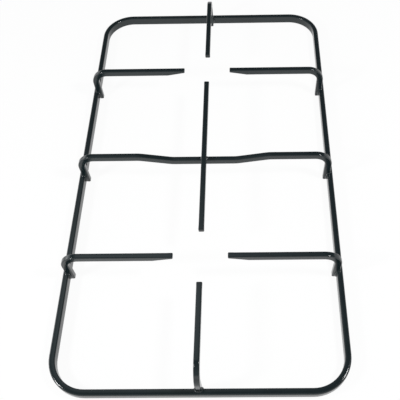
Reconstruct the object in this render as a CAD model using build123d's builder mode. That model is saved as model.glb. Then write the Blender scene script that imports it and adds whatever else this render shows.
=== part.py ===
from build123d import *
import os

# Pan support for two gas burners, one behind the other: a frame rail and eight bars welded to it.
# Millimetres, +X to the right, +Y to the rear, +Z up, origin on the hob plate under the frame's middle.

# Frame rail: a flat bar on edge, bent into a closed rounded rectangle
frame_width = 251.4
frame_depth = 448.8
rail_width = 5.5
rail_height = 9.2
rail_corner_radius = 33.0
rail_lift = 1.0

# Finger bar: the stock of every finger and of the cross bar
bar_width = 5.0
bar_height = 6.6
bend_radius = 10.0
rest_height = 40.5

# Upper edges: rounded on every finger bar, bevelled on the rail
edge_radius = 1.0
rail_bevel = 1.0

# Legs: how far each one is set over the rail, the weld in the corners beside it, and its foot
leg_set_over = 2.9
leg_weld = 2.2
foot_chamfer = 0.6

# Fingers: where they stand along the depth, and where their tips end round each burner
rear_finger_y = 104.0
front_finger_y = -114.4
side_tip_x = 23.6
rear_tip_y = 125.3
front_tip_y = -139.1
centre_rear_tip_y = 87.4
centre_front_tip_y = -89.5

# Tips: thinned from below toward the burner
taper_length = 18.0
side_tip_height = 3.0
depth_tip_height = 4.6
tip_chamfer = 0.4

# Cross bar: the joggle in it takes the centre finger, so that all the tops are level
cross_bar_y = -7.4
joggle_depth = 6.0
joggle_outer_x = 62.0
joggle_inner_x = 31.0
joggle_radius = 25.0
crossing_weld = 1.4

# Derived places
rail_top_z = rail_lift + rail_height
rail_inner_x = frame_width / 2 - rail_width
rail_inner_y = frame_depth / 2 - rail_width
leg_inset = bar_height / 2 - leg_set_over
bar_axis_z = rest_height - bar_height / 2
bar_underside_z = rest_height - bar_height
joggle_top_z = rest_height - joggle_depth
axis_bend_radius = bend_radius + bar_height / 2
leg_cut_height = rail_top_z - rail_bevel

os.makedirs("parts", exist_ok=True)

# Section of the finger bar, drawn across a leg: its outer edges come out on top past the bend
with BuildSketch() as bar_section:
    Rectangle(bar_height, bar_width)
    fillet(bar_section.vertices().group_by(Axis.X)[0], edge_radius)

# Section of a leg with a weld on each side of it, where the rail's inner face is at x = 0
with BuildSketch() as leg_weld_section:
    Polygon(
        (0, -bar_width / 2 - leg_weld),
        (leg_weld, -bar_width / 2),
        (leg_weld, bar_width / 2),
        (0, bar_width / 2 + leg_weld),
        align=None,
    )


def bent_finger(run, tip_height):
    """Finger along +X with the rail's inner face at x = 0: a leg, one bend, and a thinned tip at x = run."""
    with BuildPart() as finger:
        with BuildLine() as axis:
            FilletPolyline(
                (leg_inset, 0, 0),
                (leg_inset, 0, bar_axis_z),
                (run, 0, bar_axis_z),
                radius=axis_bend_radius,
            )
        with BuildSketch(Plane.XY):
            with Locations((leg_inset, 0)):
                add(bar_section.sketch)
        sweep(path=axis.line)
        chamfer(finger.faces().sort_by(Axis.Z)[0].edges(), foot_chamfer)
        # The tip's underside rises toward the burner
        with BuildSketch(Plane.XZ):
            Polygon(
                (run - taper_length, bar_underside_z),
                (run, rest_height - tip_height),
                (run, bar_underside_z),
                align=None,
            )
        extrude(amount=bar_width, both=True, mode=Mode.SUBTRACT)
        chamfer(finger.faces().sort_by(Axis.X)[-1].edges(), tip_chamfer)
        # Below the rail's top only the part of the leg inside the frame goes on down
        with BuildSketch(Plane.XZ):
            Rectangle(bar_height, leg_cut_height, align=(Align.MAX, Align.MIN))
        extrude(amount=bar_width, both=True, mode=Mode.SUBTRACT)
        with BuildSketch(Plane.XY.offset(rail_lift)):
            add(leg_weld_section.sketch)
        extrude(amount=rail_height - rail_bevel)
    return finger.part


side_finger = bent_finger(rail_inner_x - side_tip_x, side_tip_height)
rear_depth_finger = bent_finger(rail_inner_y - rear_tip_y, depth_tip_height)
front_depth_finger = bent_finger(rail_inner_y + front_tip_y, depth_tip_height)

with BuildPart() as outer_frame:
    with BuildSketch(Plane.XY.offset(rail_lift)):
        RectangleRounded(frame_width, frame_depth, rail_corner_radius)
        offset(amount=-rail_width, mode=Mode.SUBTRACT)
    extrude(amount=rail_height)
    chamfer(outer_frame.edges().group_by(Axis.Z)[-1], rail_bevel)

with BuildPart() as rear_left_finger:
    with Locations(Location((-rail_inner_x, rear_finger_y, 0))):
        add(side_finger)
    add(outer_frame.part, mode=Mode.SUBTRACT)

with BuildPart() as rear_right_finger:
    with Locations(Location((rail_inner_x, rear_finger_y, 0), (0, 0, 180))):
        add(side_finger)
    add(outer_frame.part, mode=Mode.SUBTRACT)

with BuildPart() as front_left_finger:
    with Locations(Location((-rail_inner_x, front_finger_y, 0))):
        add(side_finger)
    add(outer_frame.part, mode=Mode.SUBTRACT)

with BuildPart() as front_right_finger:
    with Locations(Location((rail_inner_x, front_finger_y, 0), (0, 0, 180))):
        add(side_finger)
    add(outer_frame.part, mode=Mode.SUBTRACT)

with BuildPart() as rear_finger:
    with Locations(Location((0, rail_inner_y, 0), (0, 0, -90))):
        add(rear_depth_finger)
    add(outer_frame.part, mode=Mode.SUBTRACT)

with BuildPart() as front_finger:
    with Locations(Location((0, -rail_inner_y, 0), (0, 0, 90))):
        add(front_depth_finger)
    add(outer_frame.part, mode=Mode.SUBTRACT)

# The cross bar is one length of bar with six bends: a leg at each end and the joggle between
leg_axis_x = rail_inner_x - leg_inset
with BuildPart() as cross_bar:
    with BuildLine() as cross_axis:
        FilletPolyline(
            (-leg_axis_x, cross_bar_y, 0),
            (-leg_axis_x, cross_bar_y, bar_axis_z),
            (-joggle_outer_x, cross_bar_y, bar_axis_z),
            (-joggle_inner_x, cross_bar_y, bar_axis_z - joggle_depth),
            (joggle_inner_x, cross_bar_y, bar_axis_z - joggle_depth),
            (joggle_outer_x, cross_bar_y, bar_axis_z),
            (leg_axis_x, cross_bar_y, bar_axis_z),
            (leg_axis_x, cross_bar_y, 0),
            radius=[axis_bend_radius, *[joggle_radius] * 4, axis_bend_radius],
        )
    with BuildSketch(Plane.XY):
        with Locations((-leg_axis_x, cross_bar_y)):
            add(bar_section.sketch)
    sweep(path=cross_axis.line)
    chamfer(cross_bar.faces().group_by(Axis.Z)[0].edges(), foot_chamfer)
    with BuildSketch(Plane.XY):
        with Locations((-rail_inner_x, cross_bar_y)):
            Rectangle(bar_height, 2 * bar_width, align=(Align.MAX, Align.CENTER))
        with Locations((rail_inner_x, cross_bar_y)):
            Rectangle(bar_height, 2 * bar_width, align=(Align.MIN, Align.CENTER))
    extrude(amount=leg_cut_height, mode=Mode.SUBTRACT)
    with BuildSketch(Plane.XY.offset(rail_lift)):
        with Locations(
            Location((-rail_inner_x, cross_bar_y, 0)),
            Location((rail_inner_x, cross_bar_y, 0), (0, 0, 180)),
        ):
            add(leg_weld_section.sketch)
    extrude(amount=rail_height - rail_bevel)
    add(outer_frame.part, mode=Mode.SUBTRACT)

# The centre finger lies in the joggle, welded along both sides, with a thinned tip at each burner
with BuildPart() as centre_finger:
    with BuildSketch(Plane.XZ.offset(-centre_front_tip_y)):
        with Locations((0, bar_axis_z)):
            add(bar_section.sketch, rotation=-90)
    extrude(amount=centre_front_tip_y - centre_rear_tip_y)
    with BuildSketch(Plane.YZ):
        Polygon(
            (centre_rear_tip_y - taper_length, bar_underside_z),
            (centre_rear_tip_y, rest_height - depth_tip_height),
            (centre_rear_tip_y, bar_underside_z),
            align=None,
        )
        Polygon(
            (centre_front_tip_y + taper_length, bar_underside_z),
            (centre_front_tip_y, bar_underside_z),
            (centre_front_tip_y, rest_height - depth_tip_height),
            align=None,
        )
    extrude(amount=bar_width, both=True, mode=Mode.SUBTRACT)
    chamfer(centre_finger.faces().sort_by(Axis.Y)[0].edges(), tip_chamfer)
    chamfer(centre_finger.faces().sort_by(Axis.Y)[-1].edges(), tip_chamfer)
    with BuildSketch(Plane.XZ.offset(-cross_bar_y)):
        Polygon(
            (-bar_width / 2 - crossing_weld, joggle_top_z),
            (bar_width / 2 + crossing_weld, joggle_top_z),
            (bar_width / 2, joggle_top_z + crossing_weld),
            (-bar_width / 2, joggle_top_z + crossing_weld),
            align=None,
        )
    extrude(amount=bar_width / 2 - edge_radius, both=True)
    add(cross_bar.part, mode=Mode.SUBTRACT)

outer_frame.part.label = "outer_frame"
export_step(outer_frame.part, "parts/outer_frame.step")
rear_left_finger.part.label = "rear_left_finger"
export_step(rear_left_finger.part, "parts/rear_left_finger.step")
rear_right_finger.part.label = "rear_right_finger"
export_step(rear_right_finger.part, "parts/rear_right_finger.step")
front_left_finger.part.label = "front_left_finger"
export_step(front_left_finger.part, "parts/front_left_finger.step")
front_right_finger.part.label = "front_right_finger"
export_step(front_right_finger.part, "parts/front_right_finger.step")
cross_bar.part.label = "cross_bar"
export_step(cross_bar.part, "parts/cross_bar.step")
centre_finger.part.label = "centre_finger"
export_step(centre_finger.part, "parts/centre_finger.step")
rear_finger.part.label = "rear_finger"
export_step(rear_finger.part, "parts/rear_finger.step")
front_finger.part.label = "front_finger"
export_step(front_finger.part, "parts/front_finger.step")
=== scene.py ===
import math

import bmesh
import bpy
from bpy.props import FloatProperty, FloatVectorProperty, PointerProperty
from mathutils import Matrix, Vector, noise


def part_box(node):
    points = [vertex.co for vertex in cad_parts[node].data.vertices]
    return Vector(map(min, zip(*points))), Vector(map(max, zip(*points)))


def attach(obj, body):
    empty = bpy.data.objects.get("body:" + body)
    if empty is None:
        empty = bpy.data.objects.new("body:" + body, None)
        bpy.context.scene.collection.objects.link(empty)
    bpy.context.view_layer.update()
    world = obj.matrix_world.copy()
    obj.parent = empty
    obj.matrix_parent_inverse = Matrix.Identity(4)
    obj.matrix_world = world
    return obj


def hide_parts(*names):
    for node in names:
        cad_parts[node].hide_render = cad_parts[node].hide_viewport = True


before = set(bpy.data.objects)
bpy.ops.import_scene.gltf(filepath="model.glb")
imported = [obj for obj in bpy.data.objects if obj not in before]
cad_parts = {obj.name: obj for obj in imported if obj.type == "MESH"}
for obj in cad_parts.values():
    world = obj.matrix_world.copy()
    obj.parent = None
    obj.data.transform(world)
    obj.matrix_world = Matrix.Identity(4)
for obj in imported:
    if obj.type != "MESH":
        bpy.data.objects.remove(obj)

bl_info = {
    "name": "Hob Pan Support",
    "version": (1, 0, 0),
    "blender": (4, 5, 0),
    "location": "View3D > Sidebar > Pan Support",
    "description": "Dresses the bars of a hob pan support in black enamel and sets up its studio",
    "category": "Add Mesh",
}

MM = 0.001
UP = Vector((0, 0, 1))
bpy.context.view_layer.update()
BODY = "root"
ENAMEL = "gloss_black_vitreous_enamel_fired_on_steel"
QUARTER_TURN = math.radians(90)

# The six bent fingers: the direction in which each one runs from its rail toward its burner
FINGERS = {
    "rear_left_finger": Vector((1, 0, 0)),
    "rear_right_finger": Vector((-1, 0, 0)),
    "front_left_finger": Vector((1, 0, 0)),
    "front_right_finger": Vector((-1, 0, 0)),
    "rear_finger": Vector((0, -1, 0)),
    "front_finger": Vector((0, 1, 0)),
}

# Fineness of the meshes: steps round an edge, a cut end and a bead, and spacing along bends, bars and welds
CORNER_STEPS = 4
END_STEPS = 4
BEAD_STEPS = 8
ARC_STEP = math.radians(6)
RUN_SPACING = 6 * MM
WELD_SPACING = 0.4 * MM
WELD_MIN_STEPS = 16

# Edges that turn by more than this stay sharp in the shading
SHARP_EDGE = math.radians(60)

# How deep a bead or a leg goes into what it is welded to
BURIED = 0.4 * MM

# Share of the rounding that is used up where a cut end becomes flat
END_CLOSING = 0.95

# Weld beads: spacing of the ripples, how round the bead is and how much that and its size vary
WELD_RIPPLE = 1.6 * MM
WELD_BULGE = 1.5
WELD_BULGE_CHANGE = 0.12
WELD_UNEVENNESS = 0.05

# Ends of a weld bead: the power that sets how blunt they are, and the share of its size that is left there
WELD_BLUNTNESS = 0.4
WELD_END_SHARE = 0.2

# Length of the welds: beside a leg it is the rail's height less so many of the rail's inner roundings,
# and at the crossing it is this share of the cross bar's width
WELD_ROUNDINGS = 1.2
WELD_WIDTH_SHARE = 0.9

# Section of the pooled enamel: hollow
POOL_BULGE = 0.7

# Roughness of the enamel where it lies thick and where it lies thin
THICK_ROUGHNESS = 0.11
THIN_ROUGHNESS = 0.17

# Horizon: white up to the first height and at the room's own level from the second one on,
# where a height is the Z of a unit direction
HORIZON_WHITE_TO = 0.25
HORIZON_ROOM_FROM = 0.42
ROOM_LEVEL = 0.12

# Soft lights of the studio: the direction of the middle of each one, its reach to each side and its level
SOFT_LIGHTS = {
    "ceiling": ((-0.19, 0.39, 0.9), (0.44, 0.26, 4.0), 0.83),
    "left screen": ((-0.94, 0.28, 0.18), (0.6, 0.6, 0.6), 2.2),
    "wall behind the camera": ((0.0, -0.9, 0.45), (1.28, 1.28, 1.28), 0.33),
}

# Lamps: one on each side, as on a copy stand. Each one leaves its own bright dot on a bend
LAMPS = {
    "left_lamp": Vector((-0.567, -0.328, 0.459)),
    "right_lamp": Vector((0.483, -0.176, 0.613)),
}

# Floor: half its width in metres, how far it lies under the feet, and how much of its white is even
FLOOR_HALF_WIDTH = 6
FLOOR_DROP = 0.05 * MM
FLOOR_EVEN_SHARE = 0.94

# Camera: its place in metres, its turns in degrees, and its sensor and shift, from a fit to the photo
CAMERA_PLACE = (0.040075, -0.350681, 0.497441)
CAMERA_HEADING = 1.328
CAMERA_TILT = 32.538
CAMERA_ROLL = -1.703
CAMERA_SENSOR = 36
CAMERA_SHIFT = -0.0975
CAMERA_NEAR = 0.01


def linear(hex_colour):
    """Turns an sRGB hex colour, such as #1a2b3c, into linear red, green and blue."""
    channels = [int(hex_colour[i:i + 2], 16) / 255 for i in (1, 3, 5)]
    return tuple(c / 12.92 if c <= 0.04045 else ((c + 0.055) / 1.055) ** 2.4 for c in channels)


def length(name, millimetres, description):
    """A size in the panel, given in millimetres and kept in metres."""
    return FloatProperty(
        name=name,
        description=description,
        default=millimetres * MM,
        unit="LENGTH",
        subtype="DISTANCE",
        precision=4,
    )


def colour(name, hex_colour, description):
    """A colour in the panel."""
    return FloatVectorProperty(
        name=name,
        description=description,
        default=linear(hex_colour),
        size=3,
        min=0,
        max=1,
        subtype="COLOR",
    )


class BarSizes(bpy.types.PropertyGroup):
    """Sizes of the frame rail and of the finger bars."""

    rail_width: length("Rail width", 5.5, "Thickness of the frame rail, seen from above")
    rail_outer_rounding: length("Rail outer rounding", 1.8, "Radius of the rail's edges on the outside")
    rail_inner_rounding: length("Rail inner rounding", 1.1, "Radius of the rail's edges on the inside")
    rail_corner: length("Rail corner", 33.0, "Outer radius of the frame's rounded corners")
    bar_width: length("Bar width", 5.0, "Width of a finger bar, seen from above")
    bar_height: length("Bar height", 6.6, "Height of a finger bar")
    bend: length("Bend", 10.0, "Inner radius of the bend from a leg into its finger")
    rounding: length("Rounding", 1.0, "Radius of the bars' edges under the enamel")
    set_over: length("Set over", 2.9, "How far a leg stands over the rail")
    taper: length("Taper", 18.0, "Length over which a tip is thinned from below")
    side_tip: length("Side tip", 3.0, "Height of a side finger's tip")
    depth_tip: length("Depth tip", 4.6, "Height of a tip along the depth")
    joggle_depth: length("Joggle depth", 6.0, "How far the cross bar dips under the centre finger")
    joggle_outer: length("Joggle outer", 62.0, "Half the width of the joggle at its top")
    joggle_inner: length("Joggle inner", 31.0, "Half the width of the joggle at its floor")
    joggle_bend: length("Joggle bend", 25.0, "Radius of the four bends of the joggle")
    leg_weld: length("Leg weld", 2.2, "Leg length of the weld beads beside each leg")
    crossing_weld: length("Crossing weld", 1.4, "Leg length of the weld beads at the crossing")


class EnamelLook(bpy.types.PropertyGroup):
    """Look of the fired enamel."""

    body_colour: colour("Body", "#121b1d", "Colour of the enamel where it lies thick")
    thin_colour: colour("Thin", "#182225", "Colour of the enamel where it lies thin over the ground coat")
    peel_size: length("Peel size", 2.4, "Width of the ripples that firing leaves in the gloss")
    peel_depth: length("Peel depth", 0.012, "Height of those ripples")
    sag_size: length("Sag size", 14.0, "Length of the slow waves in the coat")
    sag_depth: length("Sag depth", 0.035, "Height of the slow waves in the coat")
    tip_bead: length("Tip bead", 0.12, "How much thicker the coat lies round a sheared tip")
    pool: length("Pool", 0.9, "How far the coat spreads from the corner where a leg meets the rail")


class StageLook(bpy.types.PropertyGroup):
    """Floor, light and view."""

    floor_colour: colour("Floor", "#ffffff", "Colour of the floor and of the horizon")
    room_colour: colour("Room", "#f2fcff", "Colour of the light that comes from the room")
    lamp_power: FloatProperty(
        name="Lamps", description="Power of each of the two lamps", default=2.9, unit="POWER"
    )
    lamp_size: length("Lamp size", 130.0, "Diameter of each of the two lamps")
    lens: FloatProperty(name="Lens", description="Focal length of the camera", default=54.0, unit="CAMERA")


SETTINGS = {"pan_bars": BarSizes, "pan_enamel": EnamelLook, "pan_stage": StageLook}


def add_node(tree, kind, attributes=None, inputs=None, links=None):
    """Adds a shader node, sets its attributes and its inputs, and links other nodes' outputs into it."""
    node = tree.nodes.new(kind)
    for name, value in (attributes or {}).items():
        setattr(node, name, value)
    for name, value in (inputs or {}).items():
        node.inputs[name].default_value = value
    for name, socket in (links or {}).items():
        tree.links.new(socket, node.inputs[name])
    return node


def new_material(name):
    """A material with an empty node tree and its output node."""
    material = bpy.data.materials.new(name)
    material.use_nodes = True
    material.node_tree.nodes.clear()
    return material, material.node_tree, material.node_tree.nodes.new("ShaderNodeOutputMaterial")


def vitreous_enamel():
    """Black vitreous enamel, dipped and fired on steel: a glass skin that is black right through.

    It gives the eye a deep black with clear, slightly soft reflections, a little bent by the ripples of
    the firing.
    """
    found = bpy.data.materials.get(ENAMEL)
    if found:
        return found
    look = bpy.context.scene.pan_enamel
    material, tree, output = new_material(ENAMEL)
    place = add_node(tree, "ShaderNodeTexCoord").outputs["Object"]
    peel = add_node(
        tree,
        "ShaderNodeTexNoise",
        inputs={"Scale": 1 / look.peel_size, "Detail": 2.0, "Roughness": 0.45},
        links={"Vector": place},
    )
    pooling = add_node(
        tree,
        "ShaderNodeTexNoise",
        inputs={"Scale": 1 / look.sag_size, "Detail": 3.0, "Roughness": 0.55},
        links={"Vector": place},
    )
    tint = add_node(
        tree,
        "ShaderNodeMix",
        attributes={"data_type": "RGBA"},
        inputs={"A": (*look.body_colour, 1), "B": (*look.thin_colour, 1)},
        links={"Factor": pooling.outputs["Fac"]},
    )
    gloss = add_node(
        tree,
        "ShaderNodeMapRange",
        inputs={"From Min": 0.3, "From Max": 0.7, "To Min": THICK_ROUGHNESS, "To Max": THIN_ROUGHNESS},
        links={"Value": pooling.outputs["Fac"]},
    )
    ripple = add_node(
        tree,
        "ShaderNodeBump",
        inputs={"Strength": 1.0, "Distance": look.peel_depth},
        links={"Height": peel.outputs["Fac"]},
    )
    shader = add_node(
        tree,
        "ShaderNodeBsdfPrincipled",
        inputs={"IOR": 1.5},
        links={
            "Base Color": tint.outputs["Result"],
            "Roughness": gloss.outputs["Result"],
            "Normal": ripple.outputs["Normal"],
        },
    )
    tree.links.new(shader.outputs["BSDF"], output.inputs["Surface"])
    return material


def white_floor():
    """White paper, pressed smooth and matt: an even white that keeps a faint shadow under the bars."""
    look = bpy.context.scene.pan_stage
    material, tree, output = new_material("matt_white_paper_calendered")
    rays = add_node(tree, "ShaderNodeLightPath")
    seen = add_node(
        tree,
        "ShaderNodeMath",
        attributes={"operation": "MAXIMUM"},
        links={0: rays.outputs["Is Camera Ray"], 1: rays.outputs["Is Glossy Ray"]},
    )
    through = add_node(
        tree,
        "ShaderNodeMath",
        attributes={"operation": "MAXIMUM"},
        links={0: seen.outputs[0], 1: rays.outputs["Is Transmission Ray"]},
    )
    share = add_node(
        tree,
        "ShaderNodeMath",
        attributes={"operation": "MULTIPLY"},
        inputs={1: FLOOR_EVEN_SHARE},
        links={0: through.outputs[0]},
    )
    paper = add_node(tree, "ShaderNodeBsdfDiffuse", inputs={"Color": (*look.floor_colour, 1)})
    glow = add_node(tree, "ShaderNodeEmission", inputs={"Color": (*look.floor_colour, 1), "Strength": 1.0})
    mixed = add_node(
        tree,
        "ShaderNodeMixShader",
        links={0: share.outputs[0], 1: paper.outputs[0], 2: glow.outputs[0]},
    )
    tree.links.new(mixed.outputs[0], output.inputs["Surface"])
    return material


def studio_world():
    """A dim room in cool daylight, white along the horizon, with soft lights that the enamel mirrors."""
    look = bpy.context.scene.pan_stage
    world = bpy.data.worlds.new("studio")
    world.use_nodes = True
    tree = world.node_tree
    tree.nodes.clear()
    output = tree.nodes.new("ShaderNodeOutputWorld")
    direction = add_node(tree, "ShaderNodeTexCoord").outputs["Generated"]
    height = add_node(tree, "ShaderNodeSeparateXYZ", links={"Vector": direction}).outputs["Z"]
    horizon = add_node(
        tree,
        "ShaderNodeMapRange",
        attributes={"interpolation_type": "SMOOTHSTEP"},
        inputs={
            "From Min": HORIZON_WHITE_TO,
            "From Max": HORIZON_ROOM_FROM,
            "To Min": 1.0,
            "To Max": ROOM_LEVEL,
        },
        links={"Value": height},
    )
    level = horizon.outputs["Result"]
    tint = add_node(
        tree,
        "ShaderNodeMix",
        attributes={"data_type": "RGBA"},
        inputs={"A": (*look.room_colour, 1), "B": (*look.floor_colour, 1)},
        links={"Factor": level},
    )
    for name, (middle, reach, strength) in SOFT_LIGHTS.items():
        away = add_node(
            tree,
            "ShaderNodeVectorMath",
            attributes={"operation": "SUBTRACT"},
            inputs={1: middle},
            links={0: direction},
        )
        share = add_node(
            tree,
            "ShaderNodeVectorMath",
            attributes={"operation": "DIVIDE"},
            inputs={1: reach},
            links={0: away.outputs["Vector"]},
        )
        distance = add_node(
            tree,
            "ShaderNodeVectorMath",
            attributes={"operation": "LENGTH"},
            links={0: share.outputs["Vector"]},
        )
        glow = add_node(
            tree,
            "ShaderNodeMapRange",
            attributes={"interpolation_type": "SMOOTHSTEP", "label": name},
            inputs={"From Min": 0.0, "From Max": 1.0, "To Min": strength, "To Max": 0.0},
            links={"Value": distance.outputs["Value"]},
        )
        level = add_node(
            tree,
            "ShaderNodeMath",
            attributes={"operation": "ADD"},
            links={0: level, 1: glow.outputs["Result"]},
        ).outputs["Value"]
    light = add_node(
        tree, "ShaderNodeBackground", links={"Color": tint.outputs["Result"], "Strength": level}
    )
    tree.links.new(light.outputs[0], output.inputs["Surface"])
    return world


def straight_run(start, end):
    """Evenly spaced points along a straight run, each with the run's direction."""
    run = end - start
    steps = max(1, math.ceil(run.length / RUN_SPACING))
    return [(start + run * k / steps, run.normalized()) for k in range(steps + 1)]


def bent_axis(corners, radii):
    """Points and directions along straight runs that tangent arcs join, in the plane of the corners."""
    stations = []
    start = corners[0]
    for before, corner, after, radius in zip(corners, corners[1:], corners[2:], radii):
        arriving = (corner - before).normalized()
        leaving = (after - corner).normalized()
        turn = arriving.angle_signed(leaving)
        reach = arriving * radius * math.tan(abs(turn) / 2)
        entry = corner - reach
        stations += straight_run(start, entry)
        centre = entry - arriving.orthogonal() * math.copysign(radius, turn)
        steps = max(2, round(abs(turn) / ARC_STEP))
        for k in range(1, steps):
            swing = Matrix.Rotation(-turn * k / steps, 2)
            stations.append((centre + swing @ (entry - centre), swing @ arriving))
        start = corner + leaving * reach.length
    return stations + straight_run(start, corners[-1])


def ring(centre, up, across, low, high, half_width, rounding, low_rounding=None):
    """Points round a bar's section: a rectangle with rounded corners, from low to high along up.

    The corners on the low side have a rounding of their own if one is given.
    """
    points = []
    under = low_rounding or rounding
    corners = (
        (1, high - rounding, rounding),
        (-1, high - rounding, rounding),
        (-1, low + under, under),
        (1, low + under, under),
    )
    for quarter, (side, level, radius) in enumerate(corners):
        for k in range(CORNER_STEPS + 1):
            angle = QUARTER_TURN * (quarter + k / CORNER_STEPS)
            sideways = side * (half_width - radius) + radius * math.cos(angle)
            points.append(centre + across * sideways + up * (level + radius * math.sin(angle)))
    return points


def end_rings(centre, up, across, outward, low, high, half_width, rounding):
    """Rings that round a bar off at its cut end, from the full section to the flat face."""
    rings = []
    for k in range(END_STEPS + 1):
        angle = QUARTER_TURN * k / END_STEPS
        inset = rounding * (1 - math.cos(angle)) * END_CLOSING
        at = centre + outward * rounding * (math.sin(angle) - 1)
        rings.append(ring(at, up, across, low + inset, high - inset, half_width - inset, rounding - inset))
    return rings


def skin(name, shells):
    """A mesh of closed shells, each one a list of rings and whether its last ring joins its first."""
    look = bpy.context.scene.pan_enamel
    work = bmesh.new()
    for rings, joined in shells:
        loops = [[work.verts.new(point) for point in points] for points in rings]
        for before, after in zip(loops, loops[1:] + loops[:1] if joined else loops[1:]):
            for k in range(len(before)):
                work.faces.new((before[k - 1], before[k], after[k], after[k - 1]))
        if not joined:
            work.faces.new(loops[0])
            work.faces.new(loops[-1])
    bmesh.ops.recalc_face_normals(work, faces=work.faces)
    # The coat lies in slow waves, and never thicker than the bar's own size
    for vert in work.verts:
        wave = noise.noise(vert.co / look.sag_size)
        vert.co -= vert.normal * look.sag_depth * (0.5 + 0.5 * wave)
    mesh = bpy.data.meshes.new(name)
    work.to_mesh(mesh)
    work.free()
    mesh.shade_smooth()
    mesh.set_sharp_from_angle(angle=SHARP_EDGE)
    return mesh


def place_piece(name, shells, node=None):
    """Adds an enamelled piece that rides on the support, and stands for its CAD node if one is named."""
    piece = bpy.data.objects.new(name, skin(name, shells))
    bpy.context.scene.collection.objects.link(piece)
    piece.data.materials.append(vitreous_enamel())
    piece.modifiers.new("keep flat faces flat", "WEIGHTED_NORMAL").keep_sharp = True
    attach(piece, BODY)
    if node:
        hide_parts(node)


def leg_place(node, inward):
    """The foot of the rail's inner face under a finger, and how far the finger reaches from it."""
    sizes = bpy.context.scene.pan_bars
    low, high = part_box(node)
    reach = abs((high - low).dot(inward))
    middle = Vector(((low.x + high.x) / 2, (low.y + high.y) / 2, 0))
    return middle - inward * (reach / 2 - sizes.set_over), reach - sizes.set_over


def bar_rings(stations, origin, along):
    """Rings of a bar whose axis lies in the upright plane through origin and along.

    Below the top of the rail only the part of a leg inside the frame goes on down.
    """
    sizes = bpy.context.scene.pan_bars
    half = sizes.bar_height / 2
    across = UP.cross(along)
    rail_low, rail_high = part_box("outer_frame")
    rings = []
    for point, way in stations:
        outside = along * -way.y + UP * way.x
        coped = point.y < (rail_low.z + rail_high.z) / 2
        high = half - sizes.set_over + BURIED if coped else half
        centre = origin + along * point.x + UP * point.y
        rings.append(ring(centre, outside, across, -half, high, sizes.bar_width / 2, sizes.rounding))
    return rings


def foot_rings(point, way, origin, along):
    """Rings that round off the foot of a leg. Way is 1 where the bar starts here and -1 where it ends."""
    sizes = bpy.context.scene.pan_bars
    half = sizes.bar_height / 2
    centre = origin + along * point.x + UP * point.y
    high = half - sizes.set_over + BURIED
    half_width = sizes.bar_width / 2
    rings = end_rings(
        centre, along * -way, UP.cross(along), -UP, -half, high, half_width, sizes.rounding
    )
    return rings[::-1] if way > 0 else rings


def tip_rings(start, end, along, across, tip_height):
    """Rings of a tip that is thinned from below, from start, where it is full, to its rounded end."""
    sizes = bpy.context.scene.pan_bars
    look = bpy.context.scene.pan_enamel
    half = sizes.bar_height / 2
    rings = []
    steps = math.ceil((end - start).length / RUN_SPACING)
    for k in range(1, steps):
        low = -half + (sizes.bar_height - tip_height) * k / steps
        centre = start.lerp(end, k / steps)
        rings.append(ring(centre, UP, across, low, half, sizes.bar_width / 2, sizes.rounding))
    # Enamel draws up into a slight bead round the cut
    low = half - tip_height - look.tip_bead
    half_width = sizes.bar_width / 2 + look.tip_bead
    return rings + end_rings(end, UP, across, along, low, half, half_width, sizes.rounding)


def corner_ring(corner, one_way, other_way, leg, bulge):
    """Points round the section of a bead between two faces.

    The bead is hollow if bulge is under 1, flat if it is 1 and round if it is over 1.
    """
    points = [corner - (one_way + other_way) * BURIED, corner + one_way * leg - other_way * BURIED]
    for k in range(BEAD_STEPS + 1):
        angle = QUARTER_TURN * k / BEAD_STEPS
        reach = leg * math.cos(angle) ** (2 / bulge)
        rise = leg * math.sin(angle) ** (2 / bulge)
        points.append(corner + one_way * reach + other_way * rise)
    points.append(corner + other_way * leg - one_way * BURIED)
    return points


def weld_bead(corner, one_way, other_way, along, run, leg):
    """Shell of a weld bead in the corner between two faces: soft ripples, and a taper at both ends."""
    rings = []
    steps = max(WELD_MIN_STEPS, round(run / WELD_SPACING))
    for k in range(steps + 1):
        # The rings lie closer together toward the ends
        share = (1 - math.cos(math.pi * k / steps)) / 2
        place = run * (share - 0.5)
        taper = max(WELD_END_SHARE, math.sin(math.pi * share) ** WELD_BLUNTNESS)
        uneven = 1 + WELD_UNEVENNESS * noise.noise((corner + along * place) / WELD_RIPPLE)
        bulge = WELD_BULGE + WELD_BULGE_CHANGE * math.cos(2 * math.pi * place / WELD_RIPPLE)
        rings.append(corner_ring(corner + along * place, one_way, other_way, leg * taper * uneven, bulge))
    return rings, False


def leg_pool(origin, inward):
    """Shell of the enamel that pools where a leg meets the rail.

    It comes up the rail's inner face beside the leg, over the rail's edge and round the leg's outer face.
    """
    sizes = bpy.context.scene.pan_bars
    pool = bpy.context.scene.pan_enamel.pool
    rail_low, rail_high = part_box("outer_frame")
    rail_top = origin + UP * rail_high.z
    edge = sizes.rail_inner_rounding
    sides = []
    for across in (UP.cross(inward), inward.cross(UP)):
        side = across * sizes.bar_width / 2
        stations = [(origin + side + UP * (rail_low.z + edge), across, inward)]
        for k in range(END_STEPS + 1):
            angle = QUARTER_TURN * k / END_STEPS
            rail_way = inward * math.cos(angle) + UP * math.sin(angle)
            stations.append((rail_top + side - (inward + UP - rail_way) * edge, across, rail_way))
        turn = rail_top - inward * (sizes.set_over - sizes.rounding)
        turn += across * (sizes.bar_width / 2 - sizes.rounding)
        for k in range(END_STEPS + 1):
            angle = QUARTER_TURN * k / END_STEPS
            leg_way = across * math.cos(angle) - inward * math.sin(angle)
            stations.append((turn + leg_way * sizes.rounding, leg_way, UP))
        sides.append(stations)
    path = sides[0] + sides[1][::-1]
    return [corner_ring(at, leg_way, rail_way, pool, POOL_BULGE) for at, leg_way, rail_way in path], False


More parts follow.
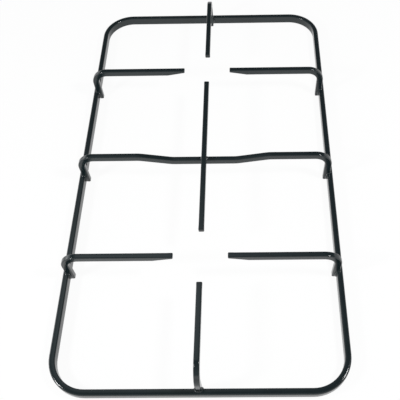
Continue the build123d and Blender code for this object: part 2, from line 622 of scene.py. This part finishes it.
class PANSUPPORT_OT_outer_frame(bpy.types.Operator):
    """Make the frame: a flat bar on edge, bent into a closed rounded rectangle"""

    bl_idname = "pan_support.outer_frame"
    bl_label = "Outer Frame"

    def execute(self, context):
        sizes = context.scene.pan_bars
        low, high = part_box("outer_frame")
        half_rail = sizes.rail_width / 2
        x = high.x - half_rail
        y = high.y - half_rail
        # Clockwise from the middle of the rear rail, so that the outside lies to the left of the way
        corners = [Vector(c) for c in ((0, y), (x, y), (x, -y), (-x, -y), (-x, y), (0, y))]
        rings = []
        for point, way in bent_axis(corners, [sizes.rail_corner - half_rail] * 4)[:-1]:
            centre = Vector((*point, (low.z + high.z) / 2))
            outside = Vector((-way.y, way.x, 0))
            rings.append(
                ring(
                    centre, outside, UP, -half_rail, half_rail, (high.z - low.z) / 2,
                    sizes.rail_outer_rounding, sizes.rail_inner_rounding,
                )
            )
        place_piece("enamelled_outer_frame", [(rings, True)], "outer_frame")
        return {"FINISHED"}


class PANSUPPORT_OT_fingers(bpy.types.Operator):
    """Make the six bent fingers: a leg, one bend and a tip that is thinned from below"""

    bl_idname = "pan_support.fingers"
    bl_label = "Bent Fingers"

    def execute(self, context):
        sizes = context.scene.pan_bars
        half = sizes.bar_height / 2
        for node, inward in FINGERS.items():
            origin, run = leg_place(node, inward)
            axis_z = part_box(node)[1].z - half
            inset = half - sizes.set_over
            foot = Vector((inset, 0))
            corners = [
                foot + Vector((0, sizes.rounding)),
                Vector((inset, axis_z)),
                Vector((run - sizes.taper, axis_z)),
            ]
            rings = foot_rings(foot, 1, origin, inward)[:-1]
            rings += bar_rings(bent_axis(corners, [sizes.bend + half]), origin, inward)
            start = origin + inward * (run - sizes.taper) + UP * axis_z
            end = origin + inward * run + UP * axis_z
            tip_height = sizes.side_tip if inward.x else sizes.depth_tip
            rings += tip_rings(start, end, inward, UP.cross(inward), tip_height)
            place_piece("enamelled_" + node, [(rings, False)], node)
        return {"FINISHED"}


class PANSUPPORT_OT_cross_bar(bpy.types.Operator):
    """Make the cross bar: one length with a leg at each end and a joggle in the middle"""

    bl_idname = "pan_support.cross_bar"
    bl_label = "Cross Bar"

    def execute(self, context):
        sizes = context.scene.pan_bars
        low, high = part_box("cross_bar")
        half = sizes.bar_height / 2
        leg = high.x - half
        top = high.z - half
        origin = Vector((0, (low.y + high.y) / 2, 0))
        along = Vector((1, 0, 0))
        left_half = [
            Vector((-leg, sizes.rounding)),
            Vector((-leg, top)),
            Vector((-sizes.joggle_outer, top)),
            Vector((-sizes.joggle_inner, top - sizes.joggle_depth)),
        ]
        right_half = [Vector((-c.x, c.y)) for c in reversed(left_half)]
        radii = [sizes.bend + half] + [sizes.joggle_bend] * 4 + [sizes.bend + half]
        rings = foot_rings(Vector((-leg, 0)), 1, origin, along)[:-1]
        rings += bar_rings(bent_axis(left_half + right_half, radii), origin, along)
        rings += foot_rings(Vector((leg, 0)), -1, origin, along)[1:]
        place_piece("enamelled_cross_bar", [(rings, False)], "cross_bar")
        return {"FINISHED"}


class PANSUPPORT_OT_centre_finger(bpy.types.Operator):
    """Make the centre finger: a straight bar in the joggle, thinned toward both burners"""

    bl_idname = "pan_support.centre_finger"
    bl_label = "Centre Finger"

    def execute(self, context):
        sizes = context.scene.pan_bars
        low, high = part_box("centre_finger")
        along = Vector((0, 1, 0))
        across = UP.cross(along)
        centre = Vector(((low.x + high.x) / 2, (low.y + high.y) / 2, high.z - sizes.bar_height / 2))
        reach = along * (high.y - low.y) / 2
        full = reach - along * sizes.taper
        half = sizes.bar_height / 2
        rings = tip_rings(centre - full, centre - reach, -along, across, sizes.depth_tip)[::-1]
        steps = math.ceil(2 * full.length / RUN_SPACING)
        for k in range(steps + 1):
            at = centre + full * (2 * k / steps - 1)
            rings.append(ring(at, UP, across, -half, half, sizes.bar_width / 2, sizes.rounding))
        rings += tip_rings(centre + full, centre + reach, along, across, sizes.depth_tip)
        place_piece("enamelled_centre_finger", [(rings, False)], "centre_finger")
        return {"FINISHED"}


class PANSUPPORT_OT_welds(bpy.types.Operator):
    """Make the weld beads beside the legs and at the crossing, and the enamel that pools round the legs"""

    bl_idname = "pan_support.welds"
    bl_label = "Weld Beads"

    def execute(self, context):
        sizes = context.scene.pan_bars
        rail_low, rail_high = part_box("outer_frame")
        side = sizes.bar_width / 2
        places = {}
        for node, inward in FINGERS.items():
            places[node.replace("finger", "weld_beads")] = (leg_place(node, inward)[0], inward)
        cross_low, cross_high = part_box("cross_bar")
        cross_y = (cross_low.y + cross_high.y) / 2
        for name, way in (("cross_left_weld_beads", 1), ("cross_right_weld_beads", -1)):
            foot = Vector((-way * (cross_high.x - sizes.set_over), cross_y, 0))
            places[name] = (foot, Vector((way, 0, 0)))
        run = rail_high.z - rail_low.z - WELD_ROUNDINGS * sizes.rail_inner_rounding
        for name, (origin, inward) in places.items():
            across = UP.cross(inward)
            middle = origin + UP * (rail_low.z + rail_high.z) / 2
            shells = [
                weld_bead(middle + way * side, inward, way, UP, run, sizes.leg_weld)
                for way in (across, -across)
            ]
            place_piece(name, shells + [leg_pool(origin, inward)])
        dip = cross_high.z - sizes.joggle_depth
        run = sizes.bar_width * WELD_WIDTH_SHARE
        shells = []
        for way in (1, -1):
            corner = Vector((way * side, cross_y, dip))
            outward = Vector((way, 0, 0))
            shells.append(weld_bead(corner, outward, UP, Vector((0, 1, 0)), run, sizes.crossing_weld))
        place_piece("crossing_weld_beads", shells)
        return {"FINISHED"}


class PANSUPPORT_OT_stage(bpy.types.Operator):
    """Set up the white floor, the light and the camera"""

    bl_idname = "pan_support.stage"
    bl_label = "Studio"

    def execute(self, context):
        look = context.scene.pan_stage
        scene = context.scene
        scene.view_settings.view_transform = "Standard"
        scene.world = studio_world()

        work = bmesh.new()
        bmesh.ops.create_grid(work, x_segments=1, y_segments=1, size=FLOOR_HALF_WIDTH)
        sheet = bpy.data.meshes.new("floor")
        work.to_mesh(sheet)
        work.free()
        sheet.materials.append(white_floor())
        floor = bpy.data.objects.new("floor", sheet)
        floor.location.z = -FLOOR_DROP
        scene.collection.objects.link(floor)

        for name, place in LAMPS.items():
            lamp = bpy.data.lights.new(name, "AREA")
            lamp.energy = look.lamp_power
            lamp.shape = "DISK"
            lamp.size = look.lamp_size
            stand = bpy.data.objects.new(name, lamp)
            stand.location = place
            stand.rotation_euler = (-place).to_track_quat("-Z", "Y").to_euler()
            scene.collection.objects.link(stand)

        optics = bpy.data.cameras.new("camera")
        optics.lens = look.lens
        optics.sensor_width = CAMERA_SENSOR
        optics.shift_x = CAMERA_SHIFT
        optics.clip_start = CAMERA_NEAR
        camera = bpy.data.objects.new("camera", optics)
        camera.matrix_world = (
            Matrix.Translation(CAMERA_PLACE)
            @ Matrix.Rotation(math.radians(CAMERA_HEADING), 4, "Z")
            @ Matrix.Rotation(math.radians(CAMERA_TILT), 4, "X")
            @ Matrix.Rotation(math.radians(CAMERA_ROLL), 4, "Z")
        )
        scene.collection.objects.link(camera)
        scene.camera = camera
        return {"FINISHED"}


class PANSUPPORT_PT_panel(bpy.types.Panel):
    """Lists the pieces and their settings"""

    bl_idname = "PANSUPPORT_PT_panel"
    bl_label = "Pan Support"
    bl_space_type = "VIEW_3D"
    bl_region_type = "UI"
    bl_category = "Pan Support"

    def draw(self, context):
        for operator in OPERATORS:
            self.layout.operator(operator.bl_idname)
        for name, group in SETTINGS.items():
            box = self.layout.box()
            for setting in group.__annotations__:
                box.prop(getattr(context.scene, name), setting)


OPERATORS = [
    PANSUPPORT_OT_outer_frame,
    PANSUPPORT_OT_fingers,
    PANSUPPORT_OT_cross_bar,
    PANSUPPORT_OT_centre_finger,
    PANSUPPORT_OT_welds,
    PANSUPPORT_OT_stage,
]
CLASSES = [*SETTINGS.values(), *OPERATORS, PANSUPPORT_PT_panel]


def register():
    """Adds the classes to Blender, and their settings to its scenes."""
    for one in CLASSES:
        bpy.utils.register_class(one)
    for name, group in SETTINGS.items():
        setattr(bpy.types.Scene, name, PointerProperty(type=group))


def unregister():
    """Takes the settings and the classes out again."""
    for name in SETTINGS:
        delattr(bpy.types.Scene, name)
    for one in reversed(CLASSES):
        bpy.utils.unregister_class(one)


def main():
    """Makes every piece and the studio."""
    register()
    bpy.ops.pan_support.outer_frame()
    bpy.ops.pan_support.fingers()
    bpy.ops.pan_support.cross_bar()
    bpy.ops.pan_support.centre_finger()
    bpy.ops.pan_support.welds()
    bpy.ops.pan_support.stage()
    bpy.context.view_layer.update()


if __name__ == "__main__":
    main()
